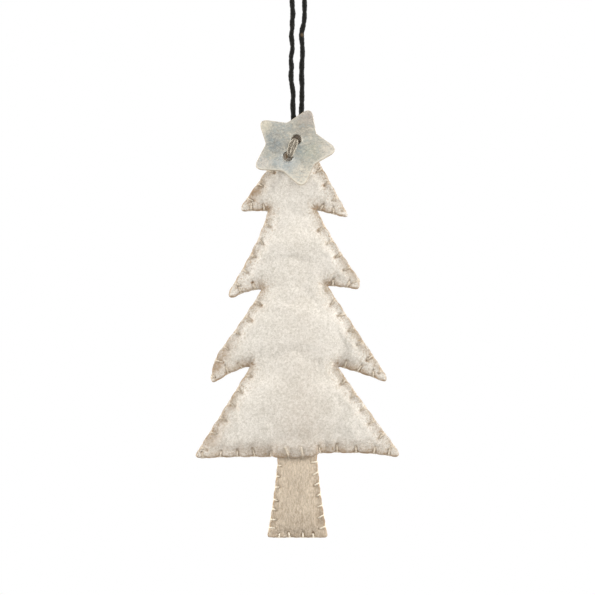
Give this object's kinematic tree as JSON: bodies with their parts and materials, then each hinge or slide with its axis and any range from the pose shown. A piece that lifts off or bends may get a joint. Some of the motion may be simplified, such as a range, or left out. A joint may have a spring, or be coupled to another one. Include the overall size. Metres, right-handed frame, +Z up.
{
  "type": "felt christmas ornament",
  "caption": "Stuffed felt tree with blanket-stitched edges, a felt trunk and a shell star button, hung by a doubled waxed cord.",
  "frame": {"origin": "where a hook bears, inside the top of the cord's loop", "axes": "+Z up along the hanging cord, +Y out of the back, -Y out of the front with the star button, +X to the viewer's right"},
  "size_m": [0.0583, 0.0121, 0.1637],
  "materials": {
    "tree_felt": "off-white wool felt, matt and fibrous",
    "trunk_felt": "tan wool felt, matt, nap running down",
    "filling": "loose white fibre",
    "tree_thread": "matt off-white thread",
    "trunk_thread": "matt cream thread",
    "button_thread": "matt taupe thread",
    "cord": "black, waxed and twisted, satin",
    "shell": "satin mottled shell"
  },
  "bodies": {
    "hanging_loop": {"cord_loop": "cord"},
    "cord_strands": {"cord_strand_left": "cord", "cord_strand_right": "cord"},
    "tree": {"tree_front_felt": "tree_felt", "tree_back_felt": "tree_felt", "tree_stuffing": "filling", "tree_edge_stitch_right": "tree_thread", "tree_edge_stitch_left": "tree_thread", "button_thread_back": "button_thread", "cord_tail_left": "cord", "cord_tail_right": "cord", "cord_knot": "cord"},
    "star": {"star_button": "shell", "button_thread": "button_thread"},
    "trunk": {"trunk_front_felt": "trunk_felt", "trunk_back_felt": "trunk_felt", "trunk_stuffing": "filling", "trunk_edge_stitch": "trunk_thread"}
  },
  "joints": [
    {"name": "cord_twist", "type": "hinge", "parent": "hanging_loop", "child": "cord_strands", "pos_m": [0, 0, -0.00815], "axis": [0, 0, 1], "range_deg": [-180, 180]},
    {"name": "tree_swing", "type": "hinge", "parent": "cord_strands", "child": "tree", "pos_m": [0, 0, -0.0466], "axis": [1, 0, 0], "range_deg": [-10, 80]},
    {"name": "star_turn", "type": "hinge", "parent": "tree", "child": "star", "pos_m": [-0.00185, -0.00316, -0.05265], "axis": [0, -0.9945, 0.1045], "range_deg": [-8, 8], "stiffness_Nm_per_rad": 0.0005},
    {"name": "trunk_bend", "type": "hinge", "parent": "tree", "child": "trunk", "pos_m": [-0.00035, 0, -0.13894], "axis": [1, 0, 0], "range_deg": [-8, 8], "stiffness_Nm_per_rad": 0.001}
  ]
}
